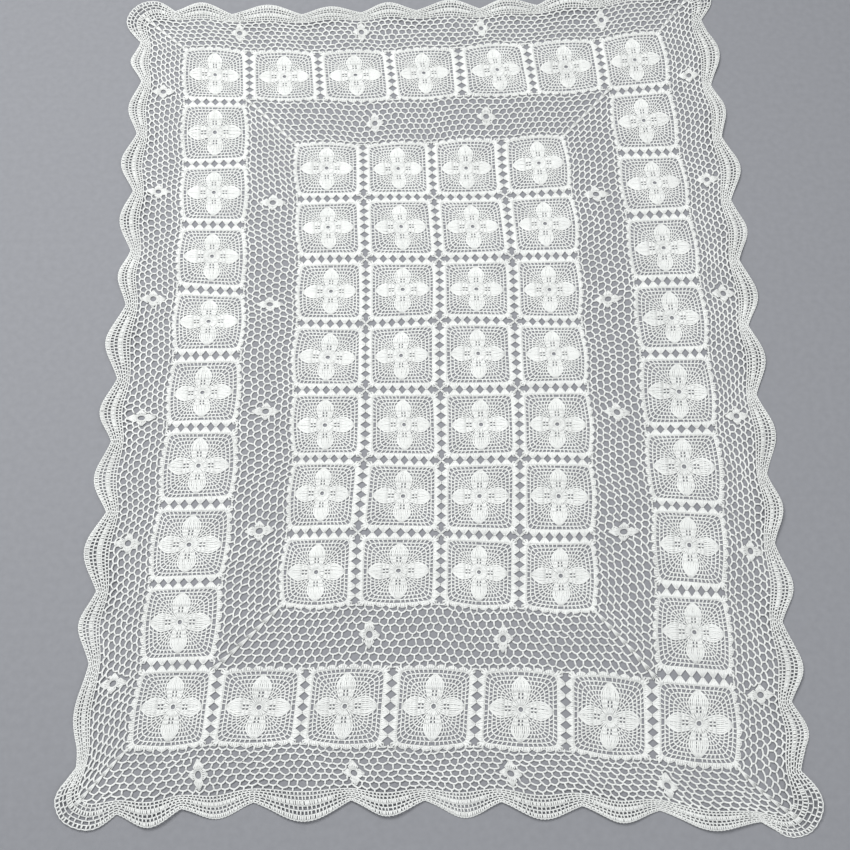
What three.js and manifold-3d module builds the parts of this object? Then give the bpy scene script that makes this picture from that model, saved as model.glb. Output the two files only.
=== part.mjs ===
// A crocheted lace throw lying open: a field of square motifs, an inner net, a frame of motifs
// round it, and an outer net that ends in a scalloped edging. Millimetres, +Z up, foot towards -Y.
import * as THREE from 'three';
import { mergeVertices } from 'three/addons/utils/BufferGeometryUtils.js';
import Module from 'manifold-3d';

// Layout
const fieldColumns = 4;
const fieldRows = 7;
const fieldPitch = 135; // one motif of the field, joined edge to edge
const frameColumns = 7;
const frameRows = 10;
const frameEase = 5; // the frame's motifs are the same work, joined this much further apart
const framePitch = fieldPitch + frameEase;
const seamGap = 0.3; // between two pieces that meet

// Cloth
const laceThickness = 3;
const reliefHeight = 0.8; // how far dense stitches stand above the open work

// Motif
const cornerRadius = 18;
const cornerSteps = 3;
const petalReach = 47;
const petalHalfWidth = 13.5;
const petalWidestAt = 33.5;
const petalRoot = 11.5; // where two petals meet, on the diagonal

// Nets
const innerSpotsAcross = 2;
const innerSpotsAlong = 4;
const innerSpotPitch = 220; // along each side, about the side's middle
const outerSpotsAcross = 4;
const outerSpotsAlong = 6;
const spotHalfLength = 22; // across the band
const spotHalfWidth = 14.5; // along the band
const outerNetDepth = 74;
const mitreHalfWidth = 5;
const mitreInset = 9; // from the band's corners to the ends of the mitre's rib

// Scalloped edging
const edgingValley = 9; // the edging's depth between two scallops
const edgingDepth = 23; // and what a scallop adds to it
const scallopsAcross = 8;
const scallopsAlong = 11;
const scallopSteps = 6;
const scallopRoundness = 0.72; // below 1 is fuller than a plain wave
const cornerFanRadius = 52;
const cornerFanInset = 20; // from the net's outer corner in to the fan's centre, each way
const cornerFanSteps = 10;

// Lay: how the cloth lies on the floor, as offsets that grow towards its ends
const layBow = 25; // both ends swing to -X of the middle
const laySpread = 20; // the corners are drawn out lengthwise
const laySplay = 18; // the +X side is drawn out lengthwise, and the -X side drawn in
const layHalfWidth = frameColumns * fieldPitch / 2; // where the offsets reach these sizes
const layHalfLength = frameRows * fieldPitch / 2;

const motifColour = 0xdedfdc;
const netColour = 0xd8dad8;

const wasm = await Module();
wasm.setup();

function lay(x, y) {
  const across = x / layHalfWidth;
  const along = y / layHalfLength;
  const swing = -layBow * along ** 2;
  const draw = (laySpread * across + laySplay) * across * along;
  return [x + swing, y + draw];
}

function laid(outline) {
  return outline.map((point) => new THREE.Vector2(...lay(point.x, point.y)));
}

// A closed prism on a flat pattern's outline, with any holes in it. The outlines are laid on the
// floor before the faces between them are made, so that no face folds over as the pattern bends.
function prism(outline, bottom, height, holes = []) {
  const shape = new THREE.Shape(laid(outline));
  shape.holes = holes.map((hole) => new THREE.Path(laid(hole)));
  const geometry = new THREE.ExtrudeGeometry(shape, { depth: height, bevelEnabled: false });
  geometry.translate(0, 0, bottom);
  geometry.deleteAttribute('normal');
  geometry.deleteAttribute('uv');
  const merged = mergeVertices(geometry);
  return new wasm.Manifold(new wasm.Mesh({
    numProp: 3,
    vertProperties: merged.attributes.position.array,
    triVerts: Uint32Array.from(merged.index.array),
  }));
}

// Raised work stands on the lace and reaches down to its mid-plane, so that it joins it.
function relief(outline) {
  return prism(outline, laceThickness / 2, laceThickness / 2 + reliefHeight);
}

// A mesh of a laid solid, whose position is its pattern centre's.
function layDown(name, solid, colour, patternX, patternY) {
  const { vertProperties, triVerts } = solid.getMesh();
  const [centreX, centreY] = lay(patternX, patternY);
  const positions = new Float32Array(vertProperties.length);
  for (let i = 0; i < positions.length; i += 3) {
    positions[i] = vertProperties[i] - centreX;
    positions[i + 1] = vertProperties[i + 1] - centreY;
    positions[i + 2] = vertProperties[i + 2];
  }
  const geometry = new THREE.BufferGeometry();
  geometry.setAttribute('position', new THREE.BufferAttribute(positions, 3));
  geometry.setIndex(Array.from(triVerts));
  geometry.computeVertexNormals();
  const material = new THREE.MeshStandardMaterial({
    color: colour,
    roughness: 0.9,
    metalness: 0,
    flatShading: true,
  });
  const mesh = new THREE.Mesh(geometry, material);
  mesh.name = name;
  mesh.position.set(centreX, centreY, 0);
  return mesh;
}

function turned(point, quarterTurns) {
  return point.clone().rotateAround(new THREE.Vector2(), quarterTurns * Math.PI / 2);
}

function movedTo(points, x, y) {
  return points.map((point) => new THREE.Vector2(point.x + x, point.y + y));
}

// A square with its corners rounded off, half a seam gap inside its cell.
function motifOutline(pitch) {
  const arcCentre = pitch / 2 - seamGap / 2 - cornerRadius;
  const points = [];
  for (let corner = 0; corner < 4; corner += 1) {
    for (let step = 0; step <= cornerSteps; step += 1) {
      const angle = (step / cornerSteps) * Math.PI / 2;
      const point = new THREE.Vector2(
        arcCentre + cornerRadius * Math.cos(angle),
        arcCentre + cornerRadius * Math.sin(angle),
      );
      points.push(turned(point, corner));
    }
  }
  return points;
}

// Four pointed petals that meet on the diagonals.
function flowerOutline() {
  const points = [];
  for (let petal = 0; petal < 4; petal += 1) {
    const quarter = [
      new THREE.Vector2(petalWidestAt, -petalHalfWidth),
      new THREE.Vector2(petalReach, 0),
      new THREE.Vector2(petalWidestAt, petalHalfWidth),
      new THREE.Vector2(petalRoot, petalRoot),
    ];
    points.push(...quarter.map((point) => turned(point, petal)));
  }
  return points;
}

function motif(name, pitch, x, y) {
  const square = prism(movedTo(motifOutline(pitch), x, y), 0, laceThickness);
  const flower = relief(movedTo(flowerOutline(), x, y));
  return layDown(name, square.add(flower), motifColour, x, y);
}

// Where the straight sides of a row of motifs start and end, as stations along the row.
function seamStations(count, pitch) {
  const straight = pitch / 2 - seamGap / 2 - cornerRadius;
  const stations = [];
  for (let i = 0; i < count; i += 1) {
    const middle = (i - (count - 1) / 2) * pitch;
    stations.push(middle - straight, middle + straight);
  }
  return stations;
}

// A rectangle with points along its sides at the stations of the motifs that it meets.
function seamRectangle(halfWidth, halfLength, acrossStations, alongStations) {
  const points = [];
  const sides = [
    { fixed: -halfLength, stations: acrossStations, half: halfWidth },
    { fixed: halfWidth, stations: alongStations, half: halfLength },
    { fixed: halfLength, stations: acrossStations.map((s) => -s), half: halfWidth },
    { fixed: -halfWidth, stations: alongStations.map((s) => -s), half: halfLength },
  ];
  sides.forEach(({ fixed, stations, half }, side) => {
    const direction = side < 2 ? 1 : -1;
    for (const s of [-half * direction, ...stations]) {
      points.push(side % 2 === 0 ? new THREE.Vector2(s, fixed) : new THREE.Vector2(fixed, s));
    }
  });
  return points;
}

// A diamond of dense clusters; its long way lies across the band.
function spotOutline(x, y, acrossIsX) {
  const halfX = acrossIsX ? spotHalfLength : spotHalfWidth;
  const halfY = acrossIsX ? spotHalfWidth : spotHalfLength;
  return [
    new THREE.Vector2(x + halfX, y),
    new THREE.Vector2(x, y + halfY),
    new THREE.Vector2(x - halfX, y),
    new THREE.Vector2(x, y - halfY),
  ];
}

// Spots stand evenly along the middle of each side of a band.
function bandSpots(midX, midY, across, along, halfWidth, halfLength) {
  const outlines = [];
  for (const side of [-1, 1]) {
    for (let i = 0; i < across; i += 1) {
      const x = ((i + 0.5) / across - 0.5) * 2 * halfWidth;
      outlines.push(spotOutline(x, side * midY, false));
    }
    for (let i = 0; i < along; i += 1) {
      const y = ((i + 0.5) / along - 0.5) * 2 * halfLength;
      outlines.push(spotOutline(side * midX, y, true));
    }
  }
  return outlines;
}

// The rib of paired clusters where two sides of a band meet, from its inner corner outwards.
function mitreOutlines(innerX, innerY, depthX, depthY) {
  const outlines = [];
  for (const [sideX, sideY] of [[1, 1], [-1, 1], [-1, -1], [1, -1]]) {
    const diagonal = new THREE.Vector2(depthX, depthY);
    const length = diagonal.length();
    diagonal.normalize();
    const normal = new THREE.Vector2(-diagonal.y, diagonal.x).multiplyScalar(mitreHalfWidth);
    const start = new THREE.Vector2(innerX, innerY).addScaledVector(diagonal, mitreInset);
    const end = new THREE.Vector2(innerX, innerY).addScaledVector(diagonal, length - mitreInset);
    const rib = [
      start.clone().sub(normal),
      end.clone().sub(normal),
      end.clone().add(normal),
      start.clone().add(normal),
    ].map((point) => new THREE.Vector2(point.x * sideX, point.y * sideY));
    outlines.push(sideX * sideY > 0 ? rib : rib.reverse());
  }
  return outlines;
}

function withRelief(plate, outlines) {
  return outlines.reduce((solid, outline) => solid.add(relief(outline)), plate);
}

// One side of the edging, from valley to valley along +s; depth is measured outwards.
function scallopRow(halfRow, count, baseDepth) {
  const points = [];
  for (let i = 0; i < count * scallopSteps; i += 1) {
    const s = (i / (count * scallopSteps) - 0.5) * 2 * halfRow;
    const phase = (i % scallopSteps) / scallopSteps;
    const rise = Math.sin(Math.PI * phase) ** (2 * scallopRoundness);
    points.push(new THREE.Vector2(s, baseDepth + edgingDepth * rise));
  }
  return points;
}

// The whole scalloped outline: four rows of scallops and a round fan at each corner.
function scallopedOutline() {
  const netX = frameColumns * framePitch / 2 + outerNetDepth;
  const netY = frameRows * framePitch / 2 + outerNetDepth;
  const fanX = netX - cornerFanInset;
  const fanY = netY - cornerFanInset;
  const valleyAngle = Math.asin((cornerFanInset + edgingValley) / cornerFanRadius);
  const valleyReach = cornerFanRadius * Math.cos(valleyAngle);
  const corners = [[1, 1, 0], [-1, 1, 1], [-1, -1, 2], [1, -1, 3]];
  const points = [];
  for (const [sideX, sideY, quarter] of corners) {
    const isAlong = quarter % 2 === 0; // the side that leads up to this corner
    const halfRow = isAlong ? fanY - valleyReach : fanX - valleyReach;
    const count = isAlong ? scallopsAlong : scallopsAcross;
    const valleyDepth = (isAlong ? netX : netY) + edgingValley;
    for (const point of scallopRow(halfRow, count, valleyDepth)) {
      points.push(turned(new THREE.Vector2(point.y, point.x), quarter));
    }
    const sweep = Math.PI / 2 + Math.PI - 2 * valleyAngle;
    for (let step = 0; step < cornerFanSteps; step += 1) {
      const turn = (step / cornerFanSteps) * sweep;
      const angle = quarter * Math.PI / 2 - Math.PI / 2 + valleyAngle + turn;
      points.push(new THREE.Vector2(
        sideX * fanX + cornerFanRadius * Math.cos(angle),
        sideY * fanY + cornerFanRadius * Math.sin(angle),
      ));
    }
  }
  return points;
}

function innerNet() {
  const fieldX = fieldColumns * fieldPitch / 2;
  const fieldY = fieldRows * fieldPitch / 2;
  const openingX = (frameColumns - 2) * framePitch / 2;
  const openingY = (frameRows - 2) * framePitch / 2;
  const outer = seamRectangle(
    openingX - seamGap / 2,
    openingY - seamGap / 2,
    seamStations(frameColumns - 2, framePitch),
    seamStations(frameRows - 2, framePitch),
  );
  const inner = seamRectangle(
    fieldX + seamGap / 2,
    fieldY + seamGap / 2,
    seamStations(fieldColumns, fieldPitch),
    seamStations(fieldRows, fieldPitch),
  );
  const midX = (fieldX + openingX) / 2;
  const midY = (fieldY + openingY) / 2;
  const raised = [
    ...bandSpots(
      midX,
      midY,
      innerSpotsAcross,
      innerSpotsAlong,
      innerSpotsAcross * innerSpotPitch / 2,
      innerSpotsAlong * innerSpotPitch / 2,
    ),
    ...mitreOutlines(fieldX, fieldY, openingX - fieldX, openingY - fieldY),
  ];
  const plate = prism(outer, 0, laceThickness, [inner]);
  return layDown('inner_net', withRelief(plate, raised), netColour, 0, 0);
}

function outerBorder() {
  const frameX = frameColumns * framePitch / 2;
  const frameY = frameRows * framePitch / 2;
  const inner = seamRectangle(
    frameX + seamGap / 2,
    frameY + seamGap / 2,
    seamStations(frameColumns, framePitch),
    seamStations(frameRows, framePitch),
  );
  const midX = frameX + outerNetDepth / 2;
  const midY = frameY + outerNetDepth / 2;
  const raised = [
    ...bandSpots(midX, midY, outerSpotsAcross, outerSpotsAlong, frameX, frameY),
    ...mitreOutlines(frameX, frameY, outerNetDepth, outerNetDepth),
  ];
  const plate = prism(scallopedOutline(), 0, laceThickness, [inner]);
  return layDown('outer_border', withRelief(plate, raised), netColour, 0, 0);
}

// A grid of motifs; keep says which cells hold one. Rows count from the head, at +Y.
function motifGrid(prefix, columns, rows, pitch, keep) {
  const group = new THREE.Group();
  for (let row = 0; row < rows; row += 1) {
    for (let column = 0; column < columns; column += 1) {
      if (keep(column, row)) {
        const x = (column - (columns - 1) / 2) * pitch;
        const y = ((rows - 1) / 2 - row) * pitch;
        group.add(motif(`${prefix}_r${row + 1}_c${column + 1}`, pitch, x, y));
      }
    }
  }
  return group;
}

const laceThrow = new THREE.Group();
const onRim = (column, row) => column === 0 || row === 0
  || column === frameColumns - 1 || row === frameRows - 1;
const border = outerBorder();
laceThrow.add(motifGrid('field_motif', fieldColumns, fieldRows, fieldPitch, () => true));
laceThrow.add(innerNet());
laceThrow.add(motifGrid('frame_motif', frameColumns, frameRows, framePitch, onRim));
laceThrow.add(border);

// The origin is under the middle of the whole throw's box.
const extent = new THREE.Box3().setFromObject(border);
laceThrow.position.set(
  -(extent.min.x + extent.max.x) / 2,
  -(extent.min.y + extent.max.y) / 2,
  0,
);

export default laceThrow;
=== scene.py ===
import bpy
import numpy as np
from mathutils import Matrix, Vector


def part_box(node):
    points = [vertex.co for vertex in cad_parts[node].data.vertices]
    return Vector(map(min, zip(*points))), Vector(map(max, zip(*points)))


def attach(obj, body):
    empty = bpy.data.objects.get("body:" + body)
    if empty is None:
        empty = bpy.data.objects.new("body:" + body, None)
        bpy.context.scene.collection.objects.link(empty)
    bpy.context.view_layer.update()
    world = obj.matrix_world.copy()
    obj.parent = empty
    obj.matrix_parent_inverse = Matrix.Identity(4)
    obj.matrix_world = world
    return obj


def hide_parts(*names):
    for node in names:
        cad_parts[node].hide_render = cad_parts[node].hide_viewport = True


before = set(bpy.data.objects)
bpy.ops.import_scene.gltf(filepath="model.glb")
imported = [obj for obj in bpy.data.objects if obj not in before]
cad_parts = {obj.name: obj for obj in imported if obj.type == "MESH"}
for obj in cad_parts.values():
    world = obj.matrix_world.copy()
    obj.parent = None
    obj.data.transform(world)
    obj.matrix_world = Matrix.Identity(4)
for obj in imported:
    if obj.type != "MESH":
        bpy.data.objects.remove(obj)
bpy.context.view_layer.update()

# A crocheted cotton lace throw lying open on a floor. Everything is drawn first as a flat pattern,
# in metres from its middle, and then laid on the floor by one function, so that the work stays joined.
print("frame loaded:", len(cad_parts), "nodes")


def middle(node):
    low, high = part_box(node)
    return (np.array(low) + np.array(high)) / 2


layout = {
    "fieldColumns": 4,
    "fieldRows": 7,
    "frameColumns": 7,
    "frameRows": 10,
    "netDepth": 0.068,  # of the outer net, to where the scalloped edging starts
}
fieldPitch = (middle("field_motif_r4_c3") - middle("field_motif_r4_c2"))[0]
framePitch = (middle("frame_motif_r1_c5") - middle("frame_motif_r1_c4"))[0]
fieldHalf = np.array([layout["fieldColumns"], layout["fieldRows"]]) * fieldPitch / 2
openingHalf = np.array([layout["frameColumns"] - 2, layout["frameRows"] - 2]) * framePitch / 2
frameHalf = np.array([layout["frameColumns"], layout["frameRows"]]) * framePitch / 2

# How the cloth lies: bow, spread and splay are the frame's own, and the rest is a hand-made cloth's
# unevenness, which is smaller than a stitch is long.
lay = {
    "bow": 0.025,  # both ends swing to -X of the middle
    "spread": 0.020,  # the corners are drawn out lengthwise
    "splay": 0.018,  # the +X side is drawn out lengthwise, and the -X side drawn in
    "waves": 7,
    "waveHeight": 0.00095,
    "waveLengths": (0.13, 0.42),
    "swell": 0.0026,  # how far a motif's free side bellies out between its joins
    "swellReach": 0.045,
    "swellEdge": 0.008,  # how softly the swelling ends past a side's last motif
    "openingSwell": -0.8,  # round the frame's opening the swelling goes the other way, and less far
    "rise": 0.0062,  # the edging's highest ripple above the floor
    "riseStart": 0.030,  # how far outside the frame of motifs the ripples start
    "riseReach": 0.085,
    "rippleMiddle": 0.42,
    "ripples": (  # share of the rise, lengths along x and y, and phase
        (0.25, 0.173, 0.231, 0.7),
        (0.23, 0.291, -0.149, 2.1),
        (0.16, 0.419, 0.383, 4.0),
    ),
    "driftMiddle": -0.009,  # the border's own slide sideways, halfway down the sides
    "driftFoot": 0.022,  # and what is added to it towards the foot and the head
    "driftHead": 0.008,
    "drawIn": 0.0055,  # how far both long sides are drawn in, and what the ends add to it
    "drawInEnds": 0.008,
    "drawEnd": 1.12,  # the share of the way to the ends where the drawing in has faded out
    "drawFade": 0.12,
    "footDraw": 0.010,  # how far the foot's border is drawn in, and more so towards +X
    "footSkew": 0.014,
    "footStart": 0.75,  # the share of the way to the foot where that begins
    "footFade": 0.25,
    "driftReach": 0.100,
    "waveStart": 0.014,  # the net's rounds swing in and out with the scallops from here outwards
    "waveReach": 0.092,
    "wave": 0.0056,
    "waveMost": 1.1,
    "seed": 11,
}
scallops = {
    "count": (11, 8),  # on the long sides and on the ends
    "ends": (0.706, 0.496),  # how far from a side's middle its last scallop ends
    "unevenEnds": 0.006,
    "slide": (-0.018, 0.0, -0.030, -0.028),  # of each side's scallops along it: right, head, left, foot
    "fade": 0.040,
    "seed": 31,
}
layHalf = np.array([layout["frameColumns"], layout["frameRows"]]) * fieldPitch / 2
layShift = middle("field_motif_r4_c3")[0] - fieldPitch / 2


def outsideFrame(x, y):
    # How far out from the frame of motifs, and less than nothing within it
    return np.maximum(np.abs(x) - frameHalf[0], np.abs(y) - frameHalf[1])


def handWaves(x, y):
    # A sum of sine waves in random directions, one sum for each of x and y
    rng = np.random.default_rng(lay["seed"])
    moved = []
    for _ in range(2):
        turn = rng.uniform(0, np.pi, lay["waves"])
        length = rng.uniform(*lay["waveLengths"], lay["waves"])
        phase = rng.uniform(0, 2 * np.pi, lay["waves"])
        along = x[..., None] * np.cos(turn) + y[..., None] * np.sin(turn)
        moved.append(lay["waveHeight"] * np.sin(2 * np.pi * along / length + phase).sum(-1))
    return moved


def swell(x, y, half, pitch, amount):
    # Near a rectangle's sides, a shift square to the side: a cosine of the way along it that is
    # highest at the middle of each motif, times a bell curve of the distance from the side
    place, other = np.stack([x, y]), np.stack([y, x])
    shift = []
    for axis in range(2):
        count = round(2 * half[1 - axis] / pitch)
        crest = np.cos(2 * np.pi * (other[axis] / pitch + (count - 1) / 2))
        away = np.abs(place[axis]) - half[axis]
        within = 1 / (1 + np.exp((np.abs(other[axis]) - half[1 - axis]) / lay["swellEdge"]))
        bell = np.exp(-((away / lay["swellReach"]) ** 2))
        shift.append(np.sign(place[axis]) * amount * crest * bell * within)
    return shift


def ripple(x, y):
    # Height of the cloth: nothing under the motifs, then a mix of sines that grows outwards by the
    # smooth step 3 g^2 - 2 g^3
    grown = np.clip((outsideFrame(x, y) - lay["riseStart"]) / lay["riseReach"], 0, 1)
    grown = grown * grown * (3 - 2 * grown)
    mix = lay["rippleMiddle"]
    for share, lengthX, lengthY, phase in lay["ripples"]:
        mix = mix + share * np.sin(2 * np.pi * (x / lengthX + y / lengthY) + phase)
    return lay["rise"] * grown * np.clip(mix, 0, 1)


def scallopEnds(side):
    # Where a side's scallops begin and end along it: evenly spaced, then slid and made uneven
    rng = np.random.default_rng(scallops["seed"] + side)
    count, end = scallops["count"][side % 2], scallops["ends"][side % 2]
    ends = np.linspace(-end, end, count + 1)
    ends[1:-1] += rng.normal(0, scallops["unevenEnds"], count - 1) + scallops["slide"][side]
    return ends


def scallopPhase(ends, along):
    # From 0 to 1 across each scallop, and which one it is
    which = np.clip(np.searchsorted(ends, along, side="right") - 1, 0, len(ends) - 2)
    return np.clip((along - ends[which]) / (ends[which + 1] - ends[which]), 0, 1), which


def swing(x, y):
    # Outwards at each scallop's middle and inwards at its ends: -cos(2 pi phase), growing with the
    # distance from the frame of motifs and fading out at the corners
    shift = [0 * x, 0 * y]
    for side, (along, depth, axis, way) in enumerate(
        (
            (y, x - frameHalf[0], 0, 1),
            (-x, y - frameHalf[1], 1, 1),
            (-y, -x - frameHalf[0], 0, -1),
            (x, -y - frameHalf[1], 1, -1),
        )
    ):
        ends = scallopEnds(side)
        phase, _ = scallopPhase(ends, along)
        beyond = np.clip((np.abs(along) - ends[-1]) / scallops["fade"], 0, 1)
        grown = np.clip((depth - lay["waveStart"]) / lay["waveReach"], 0, lay["waveMost"])
        shift[axis] = shift[axis] - way * lay["wave"] * grown * np.cos(2 * np.pi * phase) * (1 - beyond)
    return shift


def toFloor(points):
    # Pattern to floor: hand waves and swells, then x - bow v^2 and y + (spread u + splay) u v,
    # where u and v are the shares of the way out to the side and to the end
    x, y, z = np.moveaxis(points, -1, 0)
    waveX, waveY = handWaves(x, y)
    z = z + ripple(x, y)
    for half, pitch, way in (
        (fieldHalf, fieldPitch, 1),
        (openingHalf, framePitch, lay["openingSwell"]),
        (frameHalf, framePitch, 1),
    ):
        moveX, moveY = swell(x, y, half, pitch, way * lay["swell"])
        waveX, waveY = waveX + moveX, waveY + moveY
    swingX, swingY = swing(x, y)
    waveX, waveY = waveX + swingX, waveY + swingY
    u, v = x / layHalf[0], y / layHalf[1]
    border = np.clip(outsideFrame(x, y) / lay["driftReach"], 0, 1)
    drift = lay["driftMiddle"] + np.where(v < 0, lay["driftFoot"], lay["driftHead"]) * v * v
    alongSide = np.clip((lay["drawEnd"] - np.abs(v)) / lay["drawFade"], 0, 1)
    drawn = -np.sign(x) * (lay["drawIn"] + lay["drawInEnds"] * np.abs(v)) * alongSide
    waveX = waveX + border * (drift + np.where(np.abs(x) > frameHalf[0], drawn, 0))
    atFoot = np.clip((-v - lay["footStart"]) / lay["footFade"], 0, 1)
    waveY = waveY + border * atFoot * (lay["footDraw"] + lay["footSkew"] * u)
    x, y = x + waveX, y + waveY
    u, v = x / layHalf[0], y / layHalf[1]
    laidX = x - lay["bow"] * v * v + layShift
    laidY = y + (lay["spread"] * u + lay["splay"]) * u * v
    return np.stack([laidX, laidY, z], -1)


stagger = 0.0003  # m, from the lowest thread to the highest of a kind, so that none share a face
staggerStep = 0.618  # of it, from one thread to the next, and round again


def unit(vectors):
    # Each vector over its length, with a trifle added to the length so that it is never nothing
    return vectors / (np.linalg.norm(vectors, axis=-1, keepdims=True) + 1e-12)


def tubes(paths, radius, closed=False, broad=1.0):
    # A square-section tube along each path, smooth shaded so that it reads as round thread. A ring
    # of four corners stands at each point, square to the path; open ends are capped. Broad is how
    # many times as broad as thick it is, as a tall stitch is several threads side by side. The UV is
    # the length along the thread in metres, and the share of the way round it.
    points = toFloor(np.asarray(paths, float))
    count, steps = points.shape[:2]
    points[..., 2] += stagger * ((np.arange(count) * staggerStep % 1) - 0.5)[:, None]
    if closed:
        tangent = np.roll(points, -1, 1) - np.roll(points, 1, 1)
        span = np.linalg.norm(points - np.roll(points, 1, 1), axis=2)
        span[:, 0] = 0
    else:
        tangent = np.gradient(points, axis=1)
        span = np.linalg.norm(np.diff(points, axis=1, prepend=points[:, :1]), axis=2)
    length = np.cumsum(span, axis=1)
    tangent = unit(tangent)
    sideways = unit(np.cross(tangent, [0.0, 0.0, 1.0]))
    upwards = np.cross(sideways, tangent)
    turn = (np.arange(4) + 0.5) * np.pi / 2
    ring = broad * np.cos(turn)[:, None] * sideways[:, :, None]
    ring = ring + np.sin(turn)[:, None] * upwards[:, :, None]
    thick = np.broadcast_to(np.asarray(radius, float), (count, steps))[:, :, None, None]
    verts = (points[:, :, None] + thick * ring).reshape(-1, 3)

    index = np.arange(count * steps * 4).reshape(count, steps, 4)
    here, there = (index, np.roll(index, -1, 1)) if closed else (index[:, :-1], index[:, 1:])
    nextHere, nextThere = np.roll(here, -1, 2), np.roll(there, -1, 2)
    walls = np.stack([here, there, nextThere, nextHere], -1).reshape(-1, 4)
    reach = length[:, :, None] + np.zeros(4)
    reachThere = np.roll(reach, -1, 1) if closed else reach[:, 1:]
    if closed:
        reachThere[:, -1] = reach[:, -1] + span[:, 1:2]
    reachHere = reach if closed else reach[:, :-1]
    roundHere = np.broadcast_to(np.arange(4) / 4, reachHere.shape)
    uvs = np.stack(
        [
            np.stack([reachHere, roundHere], -1),
            np.stack([reachThere, roundHere], -1),
            np.stack([reachThere, roundHere + 0.25], -1),
            np.stack([reachHere, roundHere + 0.25], -1),
        ],
        -2,
    ).reshape(-1, 4, 2)
    if not closed:
        caps = np.concatenate([index[:, 0], index[:, -1, ::-1]])
        walls = np.concatenate([walls, caps])
        ends = np.concatenate([length[:, 0], length[:, -1]])
        capUvs = np.stack([ends[:, None] + np.zeros(4), np.zeros((len(ends), 4)) + 0.1], -1)
        uvs = np.concatenate([uvs, capUvs])
    return verts, walls, uvs


def piece(name, strands, finish, nodes):
    verts = np.concatenate([strand[0] for strand in strands])
    offsets = np.cumsum([0] + [len(strand[0]) for strand in strands[:-1]])
    faces = np.concatenate([strand[1] + offset for strand, offset in zip(strands, offsets)])
    uvs = np.concatenate([strand[2] for strand in strands])
    mesh = bpy.data.meshes.new(name)
    mesh.vertices.add(len(verts))
    mesh.vertices.foreach_set("co", verts.astype(np.float32).ravel())
    mesh.loops.add(faces.size)
    mesh.loops.foreach_set("vertex_index", faces.astype(np.int32).ravel())
    mesh.polygons.add(len(faces))
    mesh.polygons.foreach_set("loop_start", np.arange(0, faces.size, 4, dtype=np.int32))
    mesh.polygons.foreach_set("use_smooth", np.ones(len(faces), bool))
    mesh.uv_layers.new(name="thread").data.foreach_set("uv", uvs.astype(np.float32).ravel())
    mesh.update(calc_edges=True)
    mesh.materials.append(finish)
    made = bpy.data.objects.new(name, mesh)
    bpy.context.scene.collection.objects.link(made)
    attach(made, "root")
    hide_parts(*nodes)


def turned(points, quarter):
    # A quarter turn takes (x, y) to (-y, x)
    x, y = points[..., 0], points[..., 1]
    flat = [(x, y), (-y, x), (-x, -y), (y, -x)][quarter % 4]
    return np.concatenate([np.stack(flat, -1), points[..., 2:]], -1)


def raised(points, height):
    # Flat points, given a height above the floor
    return np.concatenate([points, np.zeros(points.shape[:-1] + (1,)) + height], -1)


def alongArc(curve, shares):
    # Points at these shares of a polyline's length
    step = np.linalg.norm(np.diff(curve, axis=0), axis=1)
    reach = np.concatenate([[0], np.cumsum(step)])
    at = np.asarray(shares) * reach[-1]
    return np.stack([np.interp(at, reach, curve[:, i]) for i in range(curve.shape[1])], -1)


def linear(hexColour):
    # sRGB hex to the linear colour that a shader takes
    value = np.array([int(hexColour[i : i + 2], 16) for i in (1, 3, 5)]) / 255
    value = np.where(value <= 0.04045, value / 12.92, ((value + 0.055) / 1.055) ** 2.4)
    return (*value, 1.0)


def addNode(tree, kind, links=(), **settings):
    # One node, with its properties and socket values set, and its inputs linked to other outputs
    node = tree.nodes.new(kind)
    for name, value in settings.items():
        if name.startswith("in_"):
            key = name[3:]
            socket = node.inputs[int(key)] if key.isdigit() else node.inputs[key.replace("_", " ")]
            socket.default_value = value
        else:
            setattr(node, name, value)
    for name, output in dict(links).items():
        tree.links.new(output, node.inputs[name])
    return node


def newMaterial(name):
    material = bpy.data.materials.new(name)
    material.use_nodes = True
    tree = material.node_tree
    tree.nodes.clear()
    shader = addNode(tree, "ShaderNodeBsdfPrincipled")
    addNode(tree, "ShaderNodeOutputMaterial", {"Surface": shader.outputs["BSDF"]})
    return material, tree, shader


def ramp(tree, factor, stops):
    # A colour ramp with two stops, each (place, sRGB hex)
    node = addNode(tree, "ShaderNodeValToRGB", {"Fac": factor})
    elements = node.color_ramp.elements
    for element, (place, colour) in zip(elements, stops):
        element.position, element.color = place, linear(colour)
    return node


studio = {
    "floorSize": 30.0,
    "floorSpeck": 0.012,
    "floorColours": [(0.3, "#7e7f83"), (0.7, "#838488")],
    "floorRoughness": 0.75,
    "world": "#dfe3e8",
    "worldStrength": 0.62,
    "lights": {  # power in watts, then place and size in metres
        "keySoftbox": (128.0, (-1.3, 1.1, 3.2), 2.2),
        "fillSoftbox": (40.0, (1.8, -1.4, 3.0), 3.0),
    },
}


def makeFloor():
    half = studio["floorSize"] / 2
    mesh = bpy.data.meshes.new("floor")
    corners = [(-half, -half, 0), (half, -half, 0), (half, half, 0), (-half, half, 0)]
    mesh.from_pydata(corners, [], [(0, 1, 2, 3)])
    # Painted board, matt: a plain surface whose fine mottle keeps it from looking drawn
    material, tree, shader = newMaterial("paintedFloorBoard")
    place = addNode(tree, "ShaderNodeTexCoord")
    speck = addNode(
        tree,
        "ShaderNodeTexNoise",
        {"Vector": place.outputs["Object"]},
        in_Scale=1 / studio["floorSpeck"],
        in_Detail=3.0,
    )
    tone = ramp(tree, speck.outputs["Fac"], studio["floorColours"])
    tree.links.new(tone.outputs["Color"], shader.inputs["Base Color"])
    shader.inputs["Roughness"].default_value = studio["floorRoughness"]
    mesh.materials.append(material)
    made = bpy.data.objects.new("floor", mesh)
    bpy.context.scene.collection.objects.link(made)
    return made


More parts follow.
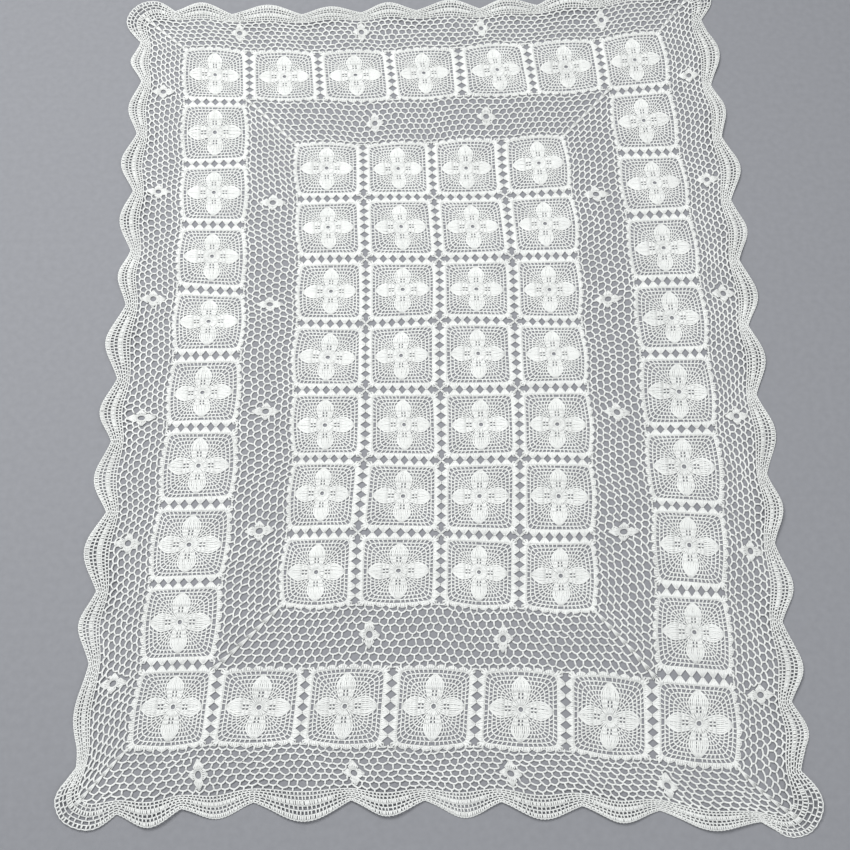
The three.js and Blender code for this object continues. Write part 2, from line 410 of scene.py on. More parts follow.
def areaLight(name, power, place, size):
    # A square softbox that faces the middle of the throw
    light = bpy.data.lights.new(name, "AREA")
    light.energy, light.size = power, size
    made = bpy.data.objects.new(name, light)
    made.location = place
    made.rotation_euler = (-Vector(place)).to_track_quat("-Z", "Y").to_euler()
    bpy.context.scene.collection.objects.link(made)


floor = makeFloor()
for lightName, (power, place, size) in studio["lights"].items():
    areaLight(lightName, power, place, size)
world = bpy.data.worlds.new("studio")
world.use_nodes = True
background = world.node_tree.nodes["Background"]
background.inputs["Color"].default_value = linear(studio["world"])
background.inputs["Strength"].default_value = studio["worldStrength"]
bpy.context.scene.world = world
bpy.context.scene.view_settings.view_transform = "Standard"

camera = {
    "azimuth": -0.993,  # degrees, as the next two; 0 looks along +Y
    "elevation": 66.045,
    "roll": 0.457,
    "distance": 2.2816,  # from the target
    "target": (-0.01442, -0.13623, 0.0),
    "lens": 55.06,  # mm, as the sensor's width
    "sensor": 36.0,
}


def makeCamera():
    azimuth, elevation, roll = np.radians([camera[key] for key in ("azimuth", "elevation", "roll")])
    back = np.array(
        [
            np.sin(azimuth) * np.cos(elevation),
            -np.cos(azimuth) * np.cos(elevation),
            np.sin(elevation),
        ]
    )
    right = unit(np.cross(-back, [0, 0, 1.0]))
    up = np.cross(back, right)
    rolledRight = right * np.cos(roll) + up * np.sin(roll)
    rolledUp = up * np.cos(roll) - right * np.sin(roll)
    lens = bpy.data.cameras.new("standingView")
    lens.lens, lens.sensor_width = camera["lens"], camera["sensor"]
    made = bpy.data.objects.new("standingView", lens)
    turn = Matrix(np.stack([rolledRight, rolledUp, back], 1).tolist()).to_4x4()
    made.matrix_world = Matrix.Translation(np.array(camera["target"]) + camera["distance"] * back) @ turn
    bpy.context.scene.collection.objects.link(made)
    bpy.context.scene.camera = made


makeCamera()
print("floor, light and camera made")


thread = {
    # Cotton differs a little from ball to ball
    "motif": {"colours": ("#e4e5e2", "#eeefec"), "sheen": 0.18},
    "net": {"colours": ("#dfe0dd", "#ebece9"), "sheen": 0.12},
    "patch": 0.055,  # m, the size of a lighter or darker area
    "patchEdges": (0.32, 0.68),
    "twist": 0.0016,  # m, from one ply to the next along the thread
    "plies": 3,
    "grooveShadeColours": ("#d9d9d6", "#ffffff"),  # painted shade in the grooves between plies: the cotton's colour is multiplied by these
    "grooveShadeWidth": 0.45,
    "grooveShadeShare": 0.8,
    "fibre": 0.00022,  # m
    "fibreCoarser": 4,  # fibres are drawn this many times as coarse, so that they show
    "fibreHeight": 0.35,  # against a ply's
    "bump": 0.55,
    "bumpHeight": 0.0003,  # m
    "roughness": 0.86,
    "roughnessSpread": 0.08,
    "specular": 0.3,
    "sheenRoughness": 0.5,
}
mixFirst, mixSecond, mixResult = 6, 7, 2  # a Mix node's colour sockets, among those of other kinds


def cottonThread(name, colours, sheen):
    # Mercerised crochet cotton, spun in plies and hooked by hand: matt white with a soft sheen at
    # glancing angles, and spiral grooves between its plies, with painted shade darkening the grooves
    material, tree, shader = newMaterial(name)
    place = addNode(tree, "ShaderNodeTexCoord")
    along = addNode(tree, "ShaderNodeSeparateXYZ", {"Vector": place.outputs["UV"]})
    turns = addNode(
        tree,
        "ShaderNodeMath",
        {0: along.outputs["X"]},
        operation="MULTIPLY",
        in_1=1 / (thread["twist"] * thread["plies"]),
    )
    spiral = addNode(
        tree, "ShaderNodeMath", {0: turns.outputs[0], 1: along.outputs["Y"]}, operation="ADD"
    )
    phase = addNode(
        tree,
        "ShaderNodeMath",
        {0: spiral.outputs[0]},
        operation="MULTIPLY",
        in_1=2 * np.pi * thread["plies"],
    )
    wave = addNode(tree, "ShaderNodeMath", {0: phase.outputs[0]}, operation="SINE")
    ply = addNode(
        tree,
        "ShaderNodeMapRange",
        {"Value": wave.outputs[0]},
        in_From_Min=-1.0,
        in_From_Max=1.0,
    )
    fibre = addNode(
        tree,
        "ShaderNodeTexNoise",
        {"Vector": place.outputs["Object"]},
        in_Scale=1 / (thread["fibre"] * thread["fibreCoarser"]),
        in_Detail=2.0,
    )
    patch = addNode(
        tree,
        "ShaderNodeTexNoise",
        {"Vector": place.outputs["Object"]},
        in_Scale=1 / thread["patch"],
        in_Detail=4.0,
    )
    tone = ramp(tree, patch.outputs["Fac"], zip(thread["patchEdges"], colours))
    # painted shade: the cotton's colour is darkened along the spiral grooves between the plies
    grooveShadeStops = zip((0.0, thread["grooveShadeWidth"]), thread["grooveShadeColours"])
    paintedPlyShade = ramp(tree, ply.outputs["Result"], grooveShadeStops)
    shaded = addNode(
        tree,
        "ShaderNodeMix",
        data_type="RGBA",
        blend_type="MULTIPLY",
        in_0=thread["grooveShadeShare"],
    )
    tree.links.new(tone.outputs["Color"], shaded.inputs[mixFirst])
    tree.links.new(paintedPlyShade.outputs["Color"], shaded.inputs[mixSecond])
    tree.links.new(shaded.outputs[mixResult], shader.inputs["Base Color"])
    rough = addNode(
        tree,
        "ShaderNodeMapRange",
        {"Value": fibre.outputs["Fac"]},
        in_To_Min=thread["roughness"] - thread["roughnessSpread"],
        in_To_Max=thread["roughness"] + thread["roughnessSpread"],
    )
    tree.links.new(rough.outputs["Result"], shader.inputs["Roughness"])
    height = addNode(
        tree,
        "ShaderNodeMath",
        {0: fibre.outputs["Fac"], 2: ply.outputs["Result"]},
        operation="MULTIPLY_ADD",
        in_1=thread["fibreHeight"],
    )
    bump = addNode(
        tree,
        "ShaderNodeBump",
        {"Height": height.outputs[0]},
        in_Strength=thread["bump"],
        in_Distance=thread["bumpHeight"],
    )
    tree.links.new(bump.outputs["Normal"], shader.inputs["Normal"])
    shader.inputs["Specular IOR Level"].default_value = thread["specular"]
    shader.inputs["Sheen Weight"].default_value = sheen
    shader.inputs["Sheen Roughness"].default_value = thread["sheenRoughness"]
    return material


motifCotton = cottonThread("crochetCottonDense", **thread["motif"])
netCotton = cottonThread("crochetCottonNet", **thread["net"])
print("thread materials made")


motif = {  # lengths are shares of the motif's pitch, apart from radii, heights and lifts, in metres
    "eye": 0.034,
    "eyeSteps": 16,
    "disc": 0.088,  # the solid round about the eye
    "discPosts": 29,
    "discTaper": (0.40, 0.86, 0.90),
    "meshBroad": 1.6,
    "innerLines": 3,  # the first lines have fewer points, and the others more
    "lineSteps": (64, 96),
    "lines": [0.108, 0.147, 0.185, 0.226, 0.270, 0.317, 0.363, 0.410],  # half-sizes of the rounds
    "fullness": [2.6, 4.0, 5.5, 6.5, 7.5, 9.0, 11.0, 14.0],  # 2 is a circle, and more is squarer
    "petal": [0.070, 0.086, 0.097, 0.103, 0.092, 0.060, 0.015],  # half-width of a petal at each line
    "petalHoles": [  # places of the stitches in a petal's first rounds, which leave four small holes
        [-1, -0.75, -0.5, 0, 0.5, 0.75, 1],
        [-1, -0.78, -0.6, -0.42, 0, 0.42, 0.6, 0.78, 1],
    ],
    "petalStitches": 10,  # side by side from there to the tip
    "petalThin": 0.28,  # of their breadth that is left at the tip
    "denseBroad": 2.9,
    "overlap": 0.07,  # how far a petal's stitches reach over those of the rounds beside them
    "lastRoundPosts": 14,  # in each quarter
    "shells": 6,  # on each side, between the corners
    "shellPitch": 0.130,
    "shellPosts": 6,
    "shellBroad": 2.6,
    "shellTaper": (1.0, 1.0, 0.5),
    "shellFoot": 0.9,  # of a shell's pitch, how broad its foot is
    "shellWaist": 0.96,  # and of the foot's breadth, its waist's, or a free shell's top's
    "shellTop": 1.05,
    "cornerPosts": 5,
    "cornerCentre": 0.385,
    "cornerReach": 0.100,
    "cornerPower": 0.8,  # below 1, a rounder fan
    "tieSpread": 0.006,
    "tieNarrow": 0.5,
    "tieBroad": 1.2,
    "joinedReach": 0.497,
    "joinedValley": 0.429,
    "joinedHalfTip": 0.008,
    "joinedRim": 0.004,  # how far the rim stays back from the tip
    "freeReach": 0.462,
    "freeValley": 0.428,
    "freeRimPoints": 6,
    "freeTie": 0.452,
    "lineRadius": 0.00078,
    "lineBroad": 1.85,
    "rimBroad": 1.2,
    "postRadius": 0.00082,
    "denseRadius": 0.00070,
    "shellRadius": 0.00085,
    "openHeight": 0.00115,
    "denseHeight": 0.00160,
    "shellLift": 0.0003,
    "rimLift": 0.0004,
    "unevenness": 0.0015,
    "loose": {"line": 0.5, "post": 1.0, "shell": 0.6, "rim": 0.3},  # shares of the unevenness
    "unevenLift": 0.00008,
    "unevenTurn": 0.022,  # radians
    "unevenStretch": 0.012,
    "seed": 5,
}
fineness = {"quarter": 160, "round": 1201, "corner": 60}  # points in the curves that are measured


def squircle(half, fullness, angle):
    # A square with full sides: |x|^n + |y|^n = half^n, at these angles round its middle
    c, s = np.cos(angle), np.sin(angle)
    reach = half / (np.abs(c) ** fullness + np.abs(s) ** fullness) ** (1 / fullness)
    return np.stack([reach * c, reach * s], -1)


def sidePoint(line, across):
    # The point of a round's line at this distance from the axis, on the side towards +x
    half, fullness = motif["lines"][line], motif["fullness"][line]
    x = (half**fullness - np.abs(across) ** fullness) ** (1 / fullness)
    return np.stack([x, across], -1)


def quarterPoints(line, petalHalf, shares):
    # Points on a round's line between the petal towards +x and the petal towards +y
    start = sidePoint(line, np.array(petalHalf))
    angle = np.arctan2(start[1], start[0])
    angles = np.linspace(angle, np.pi / 2 - angle, fineness["quarter"])
    curve = squircle(motif["lines"][line], motif["fullness"][line], angles)
    return alongArc(curve, shares)


def wholeTurn(steps):
    # Angles at even steps once round
    return np.arange(steps) / steps * 2 * np.pi


def squareLine(line, steps):
    # The whole of a round's line, at even steps of its length
    angle = np.linspace(0, 2 * np.pi, fineness["round"])
    curve = squircle(motif["lines"][line], motif["fullness"][line], angle)
    return alongArc(curve, np.arange(steps) / steps)[None]


def between(inner, outer):
    # Straight stitches from the points of one line to those of the next
    return np.stack([inner, outer], 1)


def fourTimes(paths):
    return np.concatenate([turned(paths, quarter) for quarter in range(4)])


def motifBody():
    # The work inside the edging shells, as (paths, radius, height, closed, broad), with the paths
    # in shares of the pitch
    lines, petal = motif["lines"], motif["petal"]
    last = len(lines) - 1
    solid = (motif["denseRadius"], motif["denseHeight"], False, motif["denseBroad"])
    mesh = (motif["postRadius"], motif["openHeight"], False, motif["meshBroad"])
    eye = squircle(motif["eye"], 2.0, wholeTurn(motif["eyeSteps"]))[None]
    work = [(eye, motif["lineRadius"], motif["denseHeight"], True, motif["lineBroad"])]
    for line in range(last + 1):
        ring = squareLine(line, motif["lineSteps"][line >= motif["innerLines"]])
        work.append((ring, motif["lineRadius"], motif["openHeight"], True, motif["lineBroad"]))
    turn = wholeTurn(motif["discPosts"])
    outer = squircle(lines[0], motif["fullness"][0], turn)
    spokes = np.stack([squircle(motif["eye"], 2.0, turn), squircle(motif["disc"], 2.0, turn), outer], 1)
    work.append((spokes, motif["denseRadius"] * np.array(motif["discTaper"]), *solid[1:]))
    for line in range(last - 1):
        holes = 2 * line + 2
        shares = np.arange(1, holes) / holes
        posts = between(
            quarterPoints(line, petal[line], shares),
            quarterPoints(line + 1, petal[line + 1], shares),
        )
        work.append((fourTimes(posts), *mesh))
    for line, places in enumerate(motif["petalHoles"]):
        inner, outer = (sidePoint(n, np.array(places) * petal[n]) for n in (line, line + 1))
        over = (outer - inner) * motif["overlap"]
        work.append((fourTimes(between(inner - over, outer + over)), *solid))
    places = np.linspace(-1, 1, motif["petalStitches"])
    first = len(motif["petalHoles"])
    stitches = np.stack([sidePoint(n, places * petal[n]) for n in range(first, last)], 1)
    stitches[:, 0] -= (stitches[:, 1] - stitches[:, 0]) * 2 * motif["overlap"]
    thin = np.clip(np.array(petal[first:]) / max(petal), motif["petalThin"], 1)
    work.append((fourTimes(stitches), motif["denseRadius"] * thin, *solid[1:]))
    shares = (np.arange(motif["lastRoundPosts"]) + 0.5) / motif["lastRoundPosts"]
    posts = between(
        quarterPoints(last - 1, petal[last - 1], shares), quarterPoints(last, petal[last - 1], shares)
    )
    work.append((fourTimes(posts), *mesh))
    return work


def motifSide(joined):
    # The shells of the side towards +x. Against another motif each narrows to the tip that joins
    # them, which leaves diamonds between; against a net it is a low round scallop.
    base = motif["lines"][-1]
    spread = np.linspace(-1, 1, motif["shellPosts"])
    places = (np.arange(motif["shells"]) - (motif["shells"] - 1) / 2) * motif["shellPitch"]
    half = motif["shellPitch"] / 2
    foot = np.broadcast_to(spread * half * motif["shellFoot"], (len(places), len(spread)))
    if joined:
        valley, tip, halfTip = motif["joinedValley"], motif["joinedReach"], motif["joinedHalfTip"]
        levels = [(base, foot), (valley, foot * motif["shellWaist"]), (tip, spread * halfTip)]
        rimAlong = np.array([-half, -halfTip, halfTip, half])
        rimOut = np.array([valley, tip - motif["joinedRim"], tip - motif["joinedRim"], valley])
    else:
        tip, drop = motif["freeReach"], motif["freeReach"] - motif["freeValley"]
        levels = [(base, foot), (tip - drop * spread**2, foot * motif["shellTop"])]
        rimAlong = np.linspace(-half, half, motif["freeRimPoints"])
        rimOut = tip - drop * (rimAlong / half) ** 2
    path = [np.stack([0 * foot + out, places[:, None] + along], -1) for out, along in levels]
    posts = np.stack(path, 2).reshape(-1, len(path), 2)
    along = places[:, None] + rimAlong
    rim = np.stack([0 * along + rimOut, along], -1)
    return posts, rim.reshape(1, -1, 2)


def motifCorner(joined, joinedNext):
    # The fan at the corner towards +x +y, and the tie that crosses to the motifs round it
    base = motif["lines"][-1]
    start = motif["shellPitch"] * motif["shells"] / 2
    angle = np.linspace(np.arctan2(start, base), np.arctan2(base, start), fineness["corner"])
    curve = squircle(base, motif["fullness"][-1], angle)
    share = np.linspace(0, 1, motif["cornerPosts"])
    foot = alongArc(curve, share)
    turn = share * np.pi / 2
    valleys = [motif["joinedValley"] if j else motif["freeValley"] for j in (joined, joinedNext)]
    low = valleys[0] + (valleys[1] - valleys[0]) * share - motif["cornerCentre"]
    out = (low + (motif["cornerReach"] - low) * np.sin(np.pi * share) ** motif["cornerPower"])[:, None]
    tip = motif["cornerCentre"] + out * np.stack([np.cos(turn), np.sin(turn)], -1)
    posts = between(foot, tip)
    apex = tip[motif["cornerPosts"] // 2]
    ties = []
    if joined or joinedNext:
        reach = [motif["joinedReach"] if j else motif["freeTie"] for j in (joined, joinedNext)]
        for way in (-1, 1):
            sideways = way * motif["tieSpread"] * np.array([-1, 1])
            ties.append(np.stack([apex + sideways, reach + sideways * motif["tieNarrow"]]))
    return posts, tip[None], np.array(ties).reshape(-1, 2, 2)


body = motifBody()


def motifStrands(centre, pitch, joined, number):
    # The unit motif, each round turned and stretched a little by hand, at its place in the pattern
    rng = np.random.default_rng(motif["seed"] * 1000 + number)
    turn = rng.normal(0, motif["unevenTurn"])
    stretch = 1 + rng.normal(0, motif["unevenStretch"], 2)

    def place(paths, height, kind):
        reach = np.clip(np.abs(paths).max(-1, keepdims=True) / motif["lines"][-1], 0, 1)
        hold = 1 - reach**3  # the edge stays joined
        c, s = np.cos(turn * hold[..., 0]), np.sin(turn * hold[..., 0])
        x, y = paths[..., 0], paths[..., 1]
        moved = np.stack([c * x - s * y, s * x + c * y], -1) * (1 + (stretch - 1) * hold)
        moved = moved + rng.normal(0, motif["unevenness"] * motif["loose"][kind], moved.shape)
        lift = height + rng.normal(0, motif["unevenLift"], moved.shape[:-1] + (1,))
        return np.concatenate([moved * pitch + centre, lift], -1)

    strands = []
    for paths, radius, height, closed, broad in body:
        strands.append(tubes(place(paths, height, "line" if closed else "post"), radius, closed, broad))
    edge = motif["openHeight"] + motif["shellLift"]
    broad, tieBroad = motif["shellBroad"], motif["tieBroad"]
    outline = []
    for quarter in range(4):
        here, following = joined[quarter], joined[(quarter + 1) % 4]
        posts, rim = motifSide(here)
        fan, fanRim, ties = motifCorner(here, following)
        for paths, breadth in ((posts, broad), (fan, broad), (ties, tieBroad)):
            if len(paths):
                laid = place(turned(paths, quarter), edge, "shell")
                taper = np.array(motif["shellTaper"][: paths.shape[1]])
                strands.append(tubes(laid, motif["shellRadius"] * taper, broad=breadth))
        outline += [turned(rim, quarter), turned(fanRim[:, 1:-1], quarter)]
    laid = place(np.concatenate(outline, 1), motif["openHeight"] + motif["rimLift"], "rim")
    strands.append(tubes(laid, motif["lineRadius"], True, motif["rimBroad"]))
    return strands


def makeMotifs(prefix, columns, rows, pitch, isHere, firstNumber):
    # Rows count from the head, at +Y; a side is joined where another motif of the grid meets it.
    # Each motif's number sets its own unevenness.
    furthest = 0.0
    for row in range(rows):
        for column in range(columns):
            if not isHere(column, row):
                continue
            steps = [(1, 0), (0, -1), (-1, 0), (0, 1)]  # towards +x, +y, -x and -y
            joined = [
                0 <= column + dc < columns and 0 <= row + dr < rows and isHere(column + dc, row + dr)
                for dc, dr in steps
            ]
            centre = np.array([column - (columns - 1) / 2, (rows - 1) / 2 - row]) * pitch
            node = f"{prefix}_r{row + 1}_c{column + 1}"
            strands = motifStrands(centre, pitch, joined, firstNumber + row * 20 + column)
            piece(f"{node}_lace", strands, motifCotton, [node])
            there = toFloor(np.array([*centre, 0.0]))
            furthest = max(furthest, float(np.abs(there - middle(node))[:2].max()))
    print(prefix, "made, furthest from the frame's motif centres:", round(furthest * 1000, 1), "mm")


def everywhere(column, row):
    return True


def onRim(column, row):
    return column in (0, layout["frameColumns"] - 1) or row in (0, layout["frameRows"] - 1)


makeMotifs("field_motif", layout["fieldColumns"], layout["fieldRows"], fieldPitch, everywhere, 0)
makeMotifs("frame_motif", layout["frameColumns"], layout["frameRows"], framePitch, onRim, 500)


innerNet = {
    "rounds": 8,
    "loops": (70, 40),  # in the first round of the long sides and of the ends
    "start": -0.0062,
    "firstLink": 0.004,
    "catch": 0.0034,  # how far the first links reach into the shells that they hang from
    "arcShare": 0.36,  # of a round's depth; the rest is the link to the next round
    "arcPoints": 5,
    "arcPower": 1.1,  # above 1, a more pointed arch
    "margin": 0.0040,  # from the mitre
    "spots": (4, 2),
    "spotPitch": 0.220,
    "radius": 0.00126,
    "broad": 1.45,
    "height": 0.0013,
    "jitter": 0.00085,
    "endEase": 0.001,  # how far the last links stay back from the shells, or reach into the edging
    "seed": 21,
}
outerNet = dict(innerNet, rounds=7, loops=(100, 70), spots=(6, 4), spotDepth=0.037, seed=22)
spot = {
    "halfAcross": 0.0238,  # across the band, and along it
    "halfAlong": 0.0168,
    "clearAcross": 0.93,  # of those sizes, where the net's own loops leave off
    "clearAlong": 1.05,
    "holeAcross": 0.0068,
    "holeAlong": 0.0060,
    "holePoints": 14,
    "belly": 0.0062,
    "bellyPlace": (0.25, 0.45),  # shares of the foot's place and of the wedge's reach
    "posts": 6,
    "fan": 1.45,  # radians of the hole's edge that a wedge starts from
    "tip": 0.0021,
    "tipRound": 0.16,
    "radius": 0.00096,
    "broad": 1.6,
    "height": 0.0018,
}
mitre = {
    "posts": 2,
    "spread": (0.0011, 0.0036),
    "slit": 0.0006,
    "start": 0.3,  # of the first link
    "reach": 0.98,  # of a round's depth
    "radius": 0.00108,
    "lift": 0.0002,
}


def onSide(side, half, across, along):
    # From a side's own depth and distance along it to the pattern
    reach = half[side % 2] + across
    return turned(np.stack([reach, along], -1), side)


def netSide(net, side, half, depths):
    # Rounds of loops, each hung from the tops of the last one's: a loop is an arch between two
    # nodes, and a link goes on from its top to a node of the next round, which has one loop more
    rng = np.random.default_rng(net["seed"] * 10 + side)
    depth, otherDepth = depths[side % 2], depths[1 - side % 2]
    halfAlong = half[1 - side % 2]
    end = net["end"][side % 2]
    step = (end - net["start"] - net["firstLink"]) / net["rounds"]
    slope = otherDepth / depth
    spotPlaces = net["spotPlaces"](side)
    share = np.linspace(0, 1, net["arcPoints"])[:, None]
    arch = np.sin(np.pi * share) ** net["arcPower"]
    links, arches = [], []
    tops = None
    for number in range(net["rounds"]):
        count = net["loops"][side % 2] + number
        across = net["start"] + net["firstLink"] + number * step
        width = halfAlong + across * slope - net["margin"]
        place = np.linspace(-width, width, count + 1)
        nodes = np.stack([across + 0 * place, place], -1)
        nodes[1:-1] += rng.normal(0, net["jitter"], nodes[1:-1].shape)
        if tops is None:
            first = nodes.copy()
            first[:, 0] = net["start"] - net["catch"]
            links.append(np.stack([first, nodes], 1))
        else:
            links.append(np.stack([tops, nodes[1:-1]], 1))
        mid = (nodes[1:] + nodes[:-1]) / 2
        tops = mid + [net["arcShare"] * step, 0] + rng.normal(0, net["jitter"], mid.shape)
        chords = nodes[:-1, None] * (1 - share) + nodes[1:, None] * share
        arches.append(chords + arch * (tops - mid)[:, None])
    last = tops.copy()
    last[:, 0] = end
    last[:, 1] *= (halfAlong + end * slope - net["margin"]) / (halfAlong + tops[0, 0] * slope)
    links.append(np.stack([tops, last], 1))
    strands = []
    for kind in (links, arches):
        found = np.concatenate(kind)
        centre = found.mean(1)
        for spotAcross, spotAlong in spotPlaces:
            inSpot = (
                np.abs(centre[:, 0] - spotAcross) / (spot["halfAcross"] * spot["clearAcross"])
                + np.abs(centre[:, 1] - spotAlong) / (spot["halfAlong"] * spot["clearAlong"])
            ) < 1
            found, centre = found[~inSpot], centre[~inSpot]
        laid = onSide(side, half, found[..., 0], found[..., 1])
        strands.append(tubes(raised(laid, net["height"]), net["radius"], broad=net["broad"]))
    for spotAcross, spotAlong in spotPlaces:
        strands += spotStrands(side, half, spotAcross, spotAlong)
    strands += mitreStrands(net, side, half, depths, step)
    return strands


def spotStrands(side, half, across, along):
    # A round hole with four wedges of stitches, each drawn together to a tip
    turn = wholeTurn(spot["holePoints"])
    bellyFoot, bellyReach = spot["bellyPlace"]
    hole = np.stack([spot["holeAcross"] * np.cos(turn), spot["holeAlong"] * np.sin(turn)], -1)
    posts = []
    for quarter in range(4):
        spread = np.linspace(-1, 1, spot["posts"])
        angle = quarter * np.pi / 2 + spread * spot["fan"] / 2
        foot = np.stack([spot["holeAcross"] * np.cos(angle), spot["holeAlong"] * np.sin(angle)], -1)
        reach = spot["halfAcross"] if quarter % 2 == 0 else spot["halfAlong"]
        outwards = np.array([np.cos(quarter * np.pi / 2), np.sin(quarter * np.pi / 2)])
        sideways = np.array([-outwards[1], outwards[0]])
        belly = foot * bellyFoot + outwards * reach * bellyReach
        belly = belly + sideways * spread[:, None] * spot["belly"]
        reach = reach * (1 - spot["tipRound"] * spread[:, None] ** 2)
        tip = outwards * reach + sideways * spread[:, None] * spot["tip"]
        posts.append(np.stack([foot, belly, tip], 1))
    found = []
    for paths, closed in ((np.concatenate(posts), False), (hole[None], True)):
        laid = onSide(side, half, paths[..., 0] + across, paths[..., 1] + along)
        broad = 1.0 if closed else spot["broad"]
        found.append(tubes(raised(laid, spot["height"]), spot["radius"], closed, broad))
    return found


def mitreStrands(net, side, half, depths, step):
    # At the side's far corner, a V of two wedges in each round, with a slit between them
    length = np.linalg.norm(depths)
    diagonal = depths / length
    stretch = length / depths[side % 2]
    sideways = np.array([-diagonal[1], diagonal[0]])
    posts = []
    for number in range(net["rounds"]):
        base = (net["start"] + mitre["start"] * net["firstLink"] + number * step) * stretch
        for way in (-1, 1):
            spread = np.linspace(*mitre["spread"], mitre["posts"])[:, None] * way
            foot = half + diagonal * base + sideways * way * mitre["slit"] + 0 * spread
            tip = half + diagonal * (base + mitre["reach"] * step * stretch) + sideways * spread
            posts.append(np.stack([foot, tip], 1))
    paths = np.concatenate(posts)
    signs = np.array([(1, 1), (-1, 1), (-1, -1), (1, -1)][side])
    return [tubes(raised(paths * signs, net["height"] + mitre["lift"]), mitre["radius"])]


def spotsAlong(count, pitch, across):
    # Places of a side's spots, each (across the band, along it)
    return [(across, (i - (count - 1) / 2) * pitch) for i in range(count)]


innerDepths = openingHalf - fieldHalf
innerNet["end"] = innerDepths + (0.5 - motif["freeValley"]) * framePitch - innerNet["endEase"]
innerNet["spotPlaces"] = lambda side: spotsAlong(
    innerNet["spots"][side % 2], innerNet["spotPitch"], innerDepths[side % 2] / 2
)
outerDepths = np.array([layout["netDepth"]] * 2)
outerNet["end"] = outerDepths + outerNet["endEase"]
outerNet["spotPlaces"] = lambda side: spotsAlong(
    outerNet["spots"][side % 2],
    2 * frameHalf[1 - side % 2] / outerNet["spots"][side % 2],
    outerNet["spotDepth"],
)
sideNames = ("right", "head", "left", "foot")


def makeNets(prefix, net, half, depths, node):
    for side, sideName in enumerate(sideNames):
        strands = netSide(net, side, half, depths)
        # Each side is worked as a band with mitred ends, so its flat area is a trapezium's
        piece(f"{prefix}_{sideName}", strands, netCotton, [node])
    print(prefix, "made")


makeNets("inner_net", innerNet, fieldHalf, innerDepths, "inner_net")
makeNets("outer_net", outerNet, frameHalf, outerDepths, "outer_border")


edging = {
    "cornerRadius": 0.034,
    "fineStep": 0.001,  # between the points of the base line that everything is measured on
    "valley": 0.0200,
    "lobe": 0.0140,
    "cornerLobe": 0.021,
    "roundness": 0.47,
    "unevenLobe": 0.0030,
    "lines": (0.0, 0.15, 0.31, 0.50, 0.67, 0.84, 1.0),
    "lineStep": 0.0046,
    "rimStep": 0.0026,
    "spacing": (0.0058, 0.0055, 0.0030, 0.0066, 0.0056, 0.0033),  # of the posts in each row
    "valleySpacing": (0.0070, 0.0066, 0.0060, 0.0080, 0.0072, 0.0042),
    "valleyFull": 0.40,  # how full a scallop is where the valley's spacing ends
    "valleyFade": 0.2,
    "unevenPosts": 0.00035,
    "denseRows": (2, 5),
    "denseLift": 0.0003,
    "picot": 0.0008,
    "picotFrom": 0.9,  # picots point away from this share of the height
    "radius": 0.00074,
    "postRadius": 0.00080,
    "broad": 1.7,
    "denseRadius": 0.00070,
    "denseBroad": 2.6,
    "height": 0.0013,
    "seed": 31,
}
baseHalf = frameHalf + layout["netDepth"]


def edgingBase(side):
    # A side of a rounded rectangle, from the middle of one corner's arc to the next, as finely
    # spaced points with the outward direction at each
    radius = edging["cornerRadius"]
    straight = baseHalf[1 - side % 2] - radius
    reach = baseHalf[side % 2] - radius
    arc = radius * np.pi / 4
    total = 2 * (straight + arc)
    s = np.linspace(-total / 2, total / 2, int(total / edging["fineStep"]))
    beyond = np.clip(np.abs(s) - straight, 0, None) / radius * np.sign(s)
    outward = np.stack([np.cos(beyond), np.sin(beyond)], -1)
    point = np.stack([reach + 0 * s, np.clip(s, -straight, straight)], -1) + radius * outward
    return s, turned(point, side), turned(outward, side)


def lobeShape(side, s):
    # Height of the edging at each place: the valley's, and a scallop's sin^2(pi phase)^roundness
    rng = np.random.default_rng(edging["seed"] + side)
    ends = scallopEnds(side)
    arcEnd = s[-1]
    heights = edging["lobe"] + rng.normal(0, edging["unevenLobe"], len(ends) - 1)
    heights = np.concatenate([[edging["cornerLobe"]], heights, [edging["cornerLobe"]]])
    ends = np.concatenate([[-2 * arcEnd + ends[-1]], ends, [2 * arcEnd - ends[-1]]])
    phase, which = scallopPhase(ends, s)
    full = np.sin(np.pi * phase) ** (2 * edging["roundness"])
    return edging["valley"] + heights[which] * full, full


def edgingAt(side, s, share):
    # A place in the edging: out from the base by a share of the scallop's height
    fine, point, outward = edgingBase(side)
    height, _ = lobeShape(side, fine)
    out = point + share * outward * height[:, None]
    return np.stack([np.interp(s, fine, out[:, axis]) for axis in range(2)], -1)


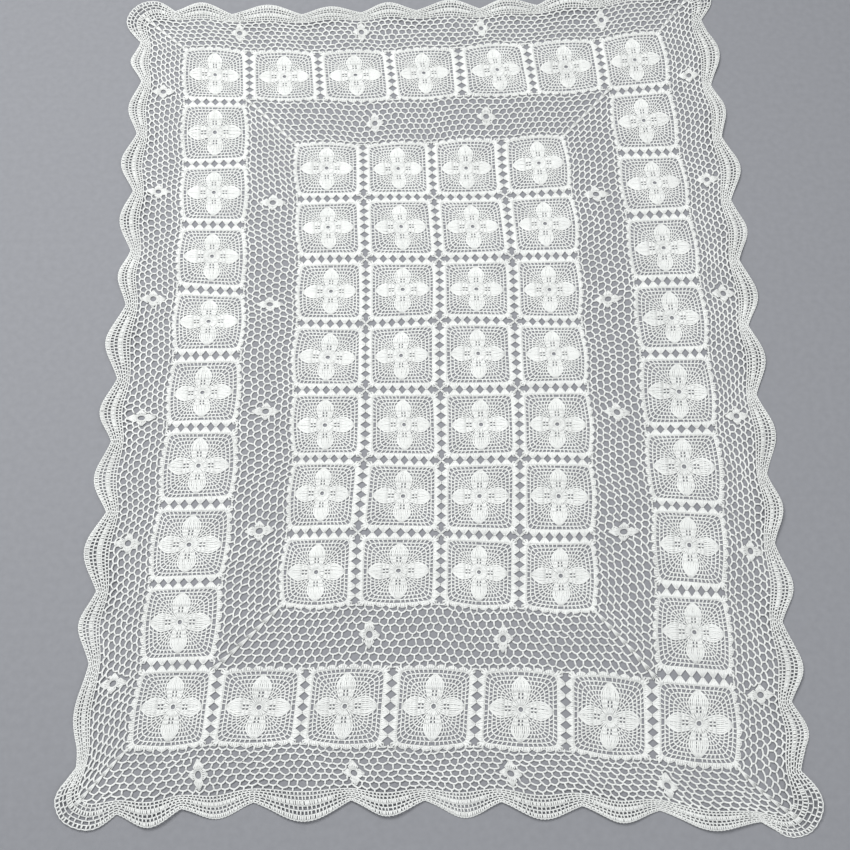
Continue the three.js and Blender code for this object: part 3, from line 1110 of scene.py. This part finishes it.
def postPlaces(side, row):
    # Posts at a spacing that goes from the scallop's own to the valley's, by adding up 1 / spacing
    fine, _, _ = edgingBase(side)
    _, full = lobeShape(side, fine)
    tight, wide = edging["spacing"][row], edging["valleySpacing"][row]
    blend = np.clip((full - edging["valleyFull"]) / edging["valleyFade"], 0, 1)
    spacing = tight * blend + wide * (1 - blend)
    counted = np.concatenate([[0], np.cumsum(np.diff(fine) / spacing[1:])])
    return np.interp(np.arange(0.5, counted[-1]), counted, fine)


def edgingSide(side):
    # Lines along the scallops at shares of their height, the last one with picots, and rows of posts
    # between them
    rng = np.random.default_rng(edging["seed"] * 7 + side)
    fine, _, _ = edgingBase(side)
    strands = []
    for share in edging["lines"]:
        rim = share == 1.0
        step = edging["rimStep"] if rim else edging["lineStep"]
        places = np.linspace(fine[0], fine[-1], int((fine[-1] - fine[0]) / step))
        path = edgingAt(side, places, share)
        if rim:
            picots = edging["picot"] * (np.arange(len(places)) % 2)[:, None]
            path = path + picots * unit(path - edgingAt(side, places, edging["picotFrom"]))
        laid = raised(path[None], edging["height"])
        strands.append(tubes(laid, edging["radius"], broad=edging["broad"]))
    for row in range(len(edging["lines"]) - 1):
        places = postPlaces(side, row)
        places = places + rng.normal(0, edging["unevenPosts"], places.shape)
        low, high = edging["lines"][row], edging["lines"][row + 1]
        posts = np.stack([edgingAt(side, places, low), edgingAt(side, places, high)], 1)
        dense = row in edging["denseRows"]
        radius = edging["denseRadius" if dense else "postRadius"]
        broad = edging["denseBroad" if dense else "broad"]
        height = edging["height"] + edging["denseLift"] * dense
        strands.append(tubes(raised(posts, height), radius, broad=broad))
    return strands


for side, sideName in enumerate(sideNames):
    # The strip's height at each place along it, whose sum along it is its flat area
    fine, _, _ = edgingBase(side)
    height, _ = lobeShape(side, fine)
    strands = edgingSide(side)
    piece(f"edging_{sideName}", strands, netCotton, ["outer_border"])
print("edging made")

shown = [o for o in bpy.data.objects if o.type == "MESH" and not o.hide_render and o != floor]
faceCount = sum(len(o.data.polygons) for o in shown)
print("pieces:", len(shown), "triangles:", 2 * faceCount)
